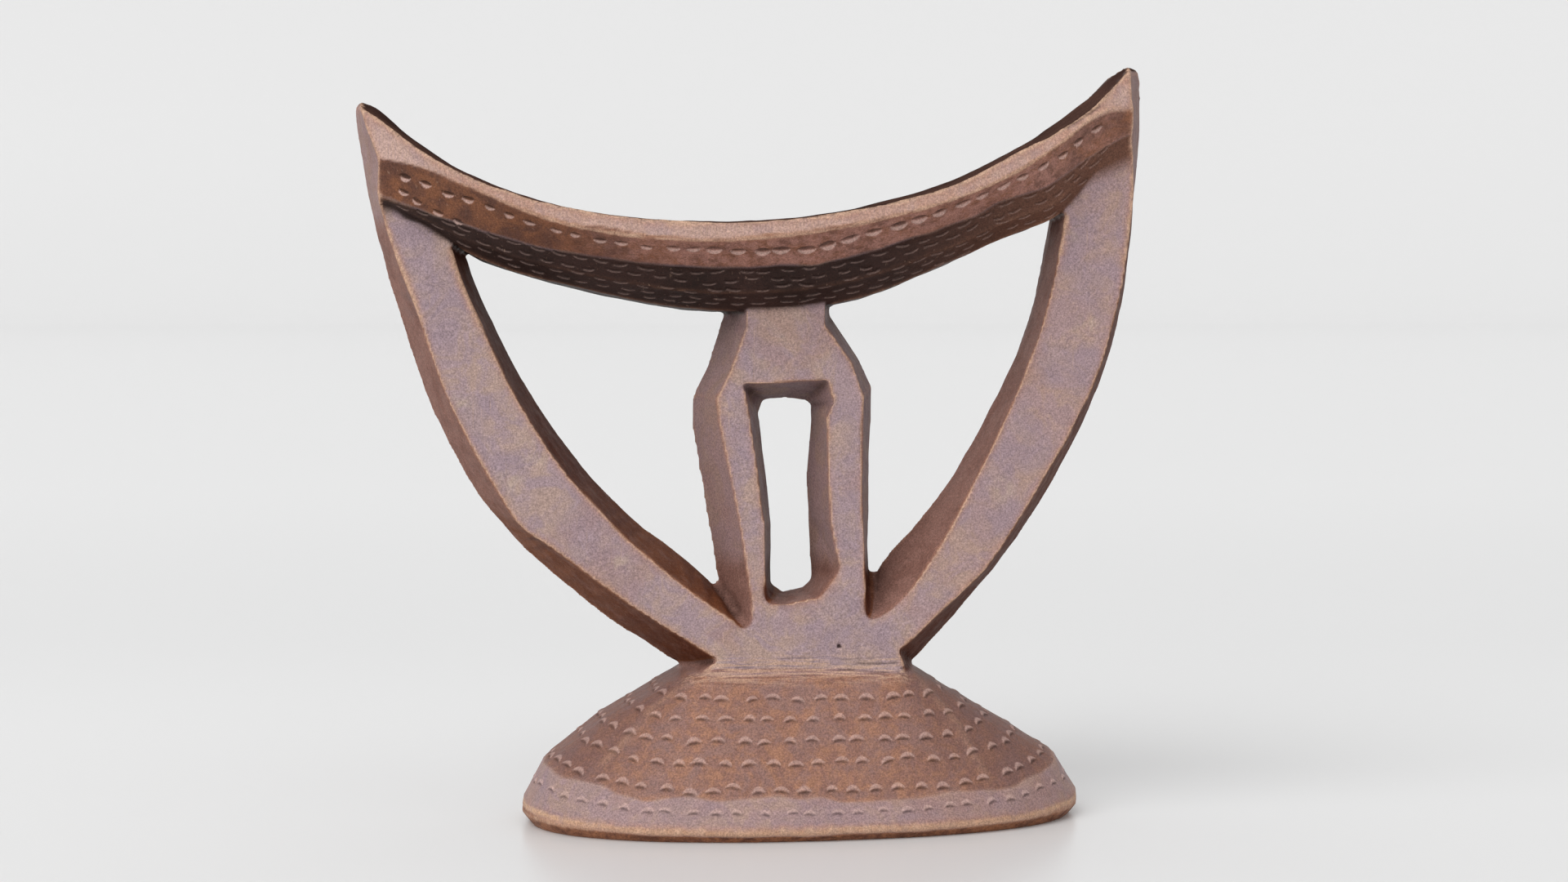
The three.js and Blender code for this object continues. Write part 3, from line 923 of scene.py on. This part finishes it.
def face_colour(w):
    """The flat faces of the frame: mauve and tan, with rust on the right and a few pale flecks."""
    face = w.mix(w.range(w.middle, 0.42, 0.60), FACE_MAUVE, FACE_TAN)
    face = w.mix(w.range(w.x, 15 * MM, 40 * MM, 0.0, 0.25), face, FACE_RUST)
    face = w.tint(face, FACE_VIOLET, w.range(w.gate, 0.42, 0.64), 0.5)
    face = w.tint(face, FACE_RUST, w.range(w.broad, 0.52, 0.66), 0.28)
    flecks = w.maths("MULTIPLY", w.range(w.small, 0.58, 0.72), w.range(w.gate, 0.50, 0.40))
    face = w.tint(face, FACE_PALE, flecks, 0.18)
    return w.tint(face, FACE_PALE, w.mask("pale"), 0.45)


def bevel_colour(w):
    """The sloping faces: rust-brown, with painted shade where they look down or away from the key light and
    a lighter mauve painted where they face it, with the streaks of the knife.
    """
    # painted shade where the bevel is turned from the key light, painted light (BEVEL_MAUVE) where it faces
    # it
    turned_away = w.mix(w.range(w.mask("lit"), 0.1, 0.5), BEVEL_DARK, BEVEL_BROWN)
    bevel = w.mix(w.range(w.mask("lit"), 0.5, 0.95), turned_away, BEVEL_MAUVE)
    bevel = w.tint(bevel, w.mix(0.5, bevel, BEVEL_DARK), w.range(w.middle, 0.42, 0.62), 0.55)
    # painted shade inside the slot
    bevel = w.tint(bevel, BEVEL_DARK, w.mask("slot"), 0.5)
    cuts = w.noise(2.6, 4, 0.6, w.stretched((0, 50, 0), (1, 1, 0.10)))
    return w.tint(bevel, BEVEL_MAUVE, w.range(cuts, 0.45, 0.70), 0.25)


def rim_colour(w):
    """The rim of the rest, combed along its length."""
    combed = w.noise(0.26, 3, 0.7, w.stretched((0, 4, 0), (1, 1, 0.06)))
    rim = w.tint(RIM_TAN, RIM_MAUVE, w.range(combed, 0.42, 0.66), 0.6)
    rim = w.tint(rim, RIM_MAUVE, w.range(w.middle, 0.50, 0.62), 0.55)
    return w.tint(rim, RIM_WARM, w.range(w.mask("flank"), 0.0, 0.5), 0.8)


def flank_colour(w):
    flank = w.mix(w.range(w.middle, 0.38, 0.62), FLANK_DARK, FLANK_RED)
    polish = w.maths("MULTIPLY", w.mask("polish"), w.range(w.small, 0.35, 0.62, 0.2, 0.8))
    return w.mix(polish, flank, FLANK_POLISH)


def belly_colour(w):
    belly = w.mix(w.range(w.broad, 0.38, 0.66), BELLY_DARK, BELLY_GREY)
    return w.mix(w.range(w.x, 12 * MM, 60 * MM), belly, BELLY_BROWN)


def foot_colour(w):
    foot = w.mix(w.range(w.small, 0.38, 0.62), FOOT_BROWN, FOOT_RUST)
    foot = w.tint(foot, FOOT_PURPLE, w.range(w.middle, 0.42, 0.64), 0.6)
    # painted shade on the foot's sides
    return w.tint(foot, FOOT_SHADE, w.mask("shade"), 0.6)


def part_colours(w):
    """Each part of the surface in its own colour, laid over one another by the masks."""
    face = face_colour(w)
    colour = w.mix(w.mask("bevel"), face, bevel_colour(w))
    colour = w.mix(w.mask("foot"), colour, foot_colour(w))
    colour = w.tint(colour, face, w.mask("band"), 0.7)
    # Scored streaks where the hub meets the foot.
    streaks = w.noise(0.6, 3, 0.6, w.stretched((0, 0, 0), (0.05, 1, 1)))
    light_streaks = w.maths("MULTIPLY", w.mask("joint"), w.range(streaks, 0.45, 0.60))
    colour = w.tint(colour, WORN, light_streaks, 0.65)
    dark_streaks = w.maths("MULTIPLY", w.mask("joint"), w.range(streaks, 0.44, 0.32))
    colour = w.tint(colour, DIRT_AND_SHADE, dark_streaks, 0.5)
    colour = w.mix(w.mask("under"), colour, w.mix(w.range(w.small, 0.35, 0.65), UNDER_RUST, BEVEL_DARK))
    rim_line = w.maths("MULTIPLY", w.mask("foot_rim"), w.range(w.small, 0.3, 0.6, 0.5, 0.95))
    colour = w.mix(rim_line, colour, RIM_LINE)
    colour = w.mix(w.mask("rim"), colour, rim_colour(w))
    colour = w.mix(w.mask("flank"), colour, flank_colour(w))
    colour = w.mix(w.mask("belly"), colour, belly_colour(w))
    return w.mix(w.mask("top"), colour, w.mix(w.range(w.broad, 0.35, 0.70), TOP_DARK, TOP_BROWN))


def worn(w, colour):
    """The colour with grime and painted shade in the hollows, painted shade in the marks' pits, rubbed
    edges, lips lightened partly as wear and partly as painted highlight, scratches and a fine grain.
    """
    # grime and painted shade in the hollows
    grime_and_shade = w.maths("MULTIPLY", w.mask("hollow"), w.range(w.small, 0.25, 0.6, 0.30, 0.75))
    colour = w.mix(grime_and_shade, colour, DIRT_AND_SHADE)
    # painted shade in the pits of the tool marks
    colour = w.tint(colour, DIRT_AND_SHADE, w.mask("pit_shade"), 0.72)
    near_edge = w.maths("MULTIPLY", w.mask("near"), w.range(w.small, 0.30, 0.60, 0.25, 0.60))
    near_edge = w.maths("MULTIPLY", near_edge, w.maths("SUBTRACT", 1.0, w.mask("top")))
    colour = w.mix(near_edge, colour, EDGE_RUST)
    on_edge = w.maths("MULTIPLY", w.mask("edge"), w.range(w.small, 0.28, 0.58, 0.20, 0.85))
    colour = w.mix(on_edge, colour, WORN)
    # the tool marks' lips lightened: partly wear, partly painted highlight
    colour = w.tint(colour, LIP, w.mask("lip"), 0.85)
    colour = w.tint(colour, WORN, w.scratches, 0.30)
    tone = w.range(w.grain, 0.25, 0.75, 0.73, 1.27)
    tone = w.maths("MULTIPLY", tone, w.range(w.speck, 0.25, 0.75, 0.84, 1.16))
    shade = w.node("ShaderNodeCombineColor")
    for socket in shade.inputs[:3]:
        w.feed(socket, tone)
    return w.mix(1.0, colour, shade.outputs[0], "MULTIPLY")


def polish(w, roughness):
    """Rubbed edges shine a little more, and the top and the bevels hardly reflect."""
    shine = w.range(w.small, 0.3, 0.7, roughness - 0.07, roughness + 0.09)
    shine = w.maths("SUBTRACT", shine, w.maths("MULTIPLY", w.mask("edge"), 0.08))
    w.feed(w.shader.inputs["Roughness"], shine)
    dull = w.maths("MAXIMUM", w.mask("top"), w.maths("MULTIPLY", w.mask("bevel"), 0.7))
    gloss = w.maths("MULTIPLY", w.maths("SUBTRACT", 1.0, dull), 0.20)
    w.feed(w.shader.inputs["Specular IOR Level"], gloss)


def roughen(w):
    """The finest unevenness of the wood, as a bump over the carved relief."""
    fibre = w.noise(0.5, 4, 0.65, w.stretched((0, 12, 0), (1, 1, 0.06)))
    height = w.maths("MULTIPLY", w.grain, 0.25)
    for pattern, share in ((w.speck, 0.35), (w.small, 0.8), (fibre, 0.35), (w.scratches, -0.30)):
        height = w.maths("ADD", height, w.maths("MULTIPLY", pattern, share))
    bump = w.node("ShaderNodeBump")
    bump.inputs["Strength"].default_value = 0.7
    bump.inputs["Distance"].default_value = 0.16 * MM
    w.feed(bump.inputs["Height"], height)
    w.feed(w.shader.inputs["Normal"], bump.outputs[0])


def wood(name, roughness):
    w = Wood(name)
    w.feed(w.shader.inputs["Base Color"], worn(w, part_colours(w)))
    polish(w, roughness)
    roughen(w)
    return w.material


# ---- floor, light and camera --------------------------------------------------------------

FLOOR_SIDE = 12.0
FLOOR_FRONT = 6.0
FLOOR_BACK = 6.0
FLOOR_CURL = 3.0
FLOOR_TOP = 12.0
CURL_STEPS = 24
FLOOR_TONE = 0.762
WALL_TONE = 0.69
TONE_FROM = 0.3  # from here back the floor's tone changes slowly to the wall's
# Behind the object the floor is painted darker by this share, a painted soft shadow, and lightens again,
# over these two stretches.
DIP_SHARE = 0.06
INTO_DIP = (0.10, 0.36)
OUT_OF_DIP = (0.40, 1.1)
AMBIENT = 0.72
KEY = 1.65
KEY_HEIGHT = 42
KEY_TURN = -38
KEY_SPREAD = 50
EYE = (-0.0326, -0.6662, 0.1182)
LOOK_DOWN = 3.07
LOOK_RIGHT = 2.5
LENS = 70


def floor_sheet():
    """A sheet that runs back from under the object and curls up into a wall."""
    profile = [(-FLOOR_FRONT, 0.0), (FLOOR_BACK, 0.0)]
    for step in range(1, CURL_STEPS + 1):
        angle = step / CURL_STEPS * math.pi / 2
        profile.append((FLOOR_BACK + FLOOR_CURL * math.sin(angle), FLOOR_CURL * (1 - math.cos(angle))))
    profile.append((FLOOR_BACK + FLOOR_CURL, FLOOR_TOP))
    bm = bmesh.new()
    rows = [[bm.verts.new((x, y, z)) for x in (-FLOOR_SIDE, FLOOR_SIDE)] for y, z in profile]
    for near, far in zip(rows, rows[1:]):
        bm.faces.new((near[0], near[1], far[1], far[0])).smooth = True
    mesh = bpy.data.meshes.new("floor")
    bm.to_mesh(mesh)
    bm.free()
    return object_of("floor", mesh)


def floor_paint():
    """Pale and a little glossy, with a painted soft shadow, a darker stretch a little behind the object."""
    material = bpy.data.materials.new("pale_floor")
    material.use_nodes = True
    tree = material.node_tree
    shader = tree.nodes["Principled BSDF"]
    place = tree.nodes.new("ShaderNodeSeparateXYZ")
    tree.links.new(tree.nodes.new("ShaderNodeTexCoord").outputs["Object"], place.inputs[0])

    def fade(stretch, near_value, far_value, style="LINEAR"):
        node = tree.nodes.new("ShaderNodeMapRange")
        node.interpolation_type = style
        tree.links.new(place.outputs["Y"], node.inputs["Value"])
        settings = zip(("From Min", "From Max", "To Min", "To Max"), (*stretch, near_value, far_value))
        for name, value in settings:
            node.inputs[name].default_value = value
        return node.outputs[0]

    def product(a, b):
        node = tree.nodes.new("ShaderNodeMath")
        node.operation = "MULTIPLY"
        tree.links.new(a, node.inputs[0])
        tree.links.new(b, node.inputs[1])
        return node.outputs[0]

    flat = fade((TONE_FROM, FLOOR_BACK + FLOOR_CURL), FLOOR_TONE, WALL_TONE)
    into_dip = fade(INTO_DIP, 1.0, 1.0 - DIP_SHARE, "SMOOTHSTEP")
    out_of_dip = fade(OUT_OF_DIP, 1.0, 1.0 / (1.0 - DIP_SHARE), "SMOOTHSTEP")
    shade = product(product(flat, into_dip), out_of_dip)
    tone = tree.nodes.new("ShaderNodeCombineColor")
    for socket in tone.inputs[:3]:
        tree.links.new(shade, socket)
    tree.links.new(tone.outputs[0], shader.inputs["Base Color"])
    shader.inputs["Roughness"].default_value = 0.28
    shader.inputs["Specular IOR Level"].default_value = 0.45
    return material


def floor():
    sheet = floor_sheet()
    sheet.data.materials.append(floor_paint())


def lights():
    world = bpy.data.worlds.new("studio")
    bpy.context.scene.world = world
    world.use_nodes = True
    background = world.node_tree.nodes["Background"]
    background.inputs[0].default_value = (1, 1, 1, 1)
    background.inputs[1].default_value = AMBIENT
    data = bpy.data.lights.new("key", "SUN")
    data.energy = KEY
    data.angle = math.radians(KEY_SPREAD)
    key = bpy.data.objects.new("key", data)
    key.rotation_euler = (math.radians(90 - KEY_HEIGHT), 0, math.radians(KEY_TURN))
    bpy.context.scene.collection.objects.link(key)


def camera():
    data = bpy.data.cameras.new("camera")
    data.lens = LENS
    data.sensor_width = 36
    data.clip_start = 0.01
    eye = bpy.data.objects.new("camera", data)
    eye.location = EYE
    eye.rotation_euler = (math.radians(90 - LOOK_DOWN), 0, math.radians(-LOOK_RIGHT))
    bpy.context.scene.collection.objects.link(eye)
    bpy.context.scene.camera = eye


camera()
lights()
floor()
bpy.context.scene.view_settings.view_transform = "Standard"
looks = {
    "frame_wood": wood("frame_wood", 0.56),
    "rest_wood": wood("rest_wood", 0.54),
    "foot_wood": wood("foot_wood", 0.56),
}
for node_name, piece in parted(carved()).items():
    slot = SLOTS.get(node_name, "frame_wood")
    piece.data.materials.clear()
    piece.data.materials.append(looks[slot])
    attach(piece, "root")
    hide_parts(node_name)
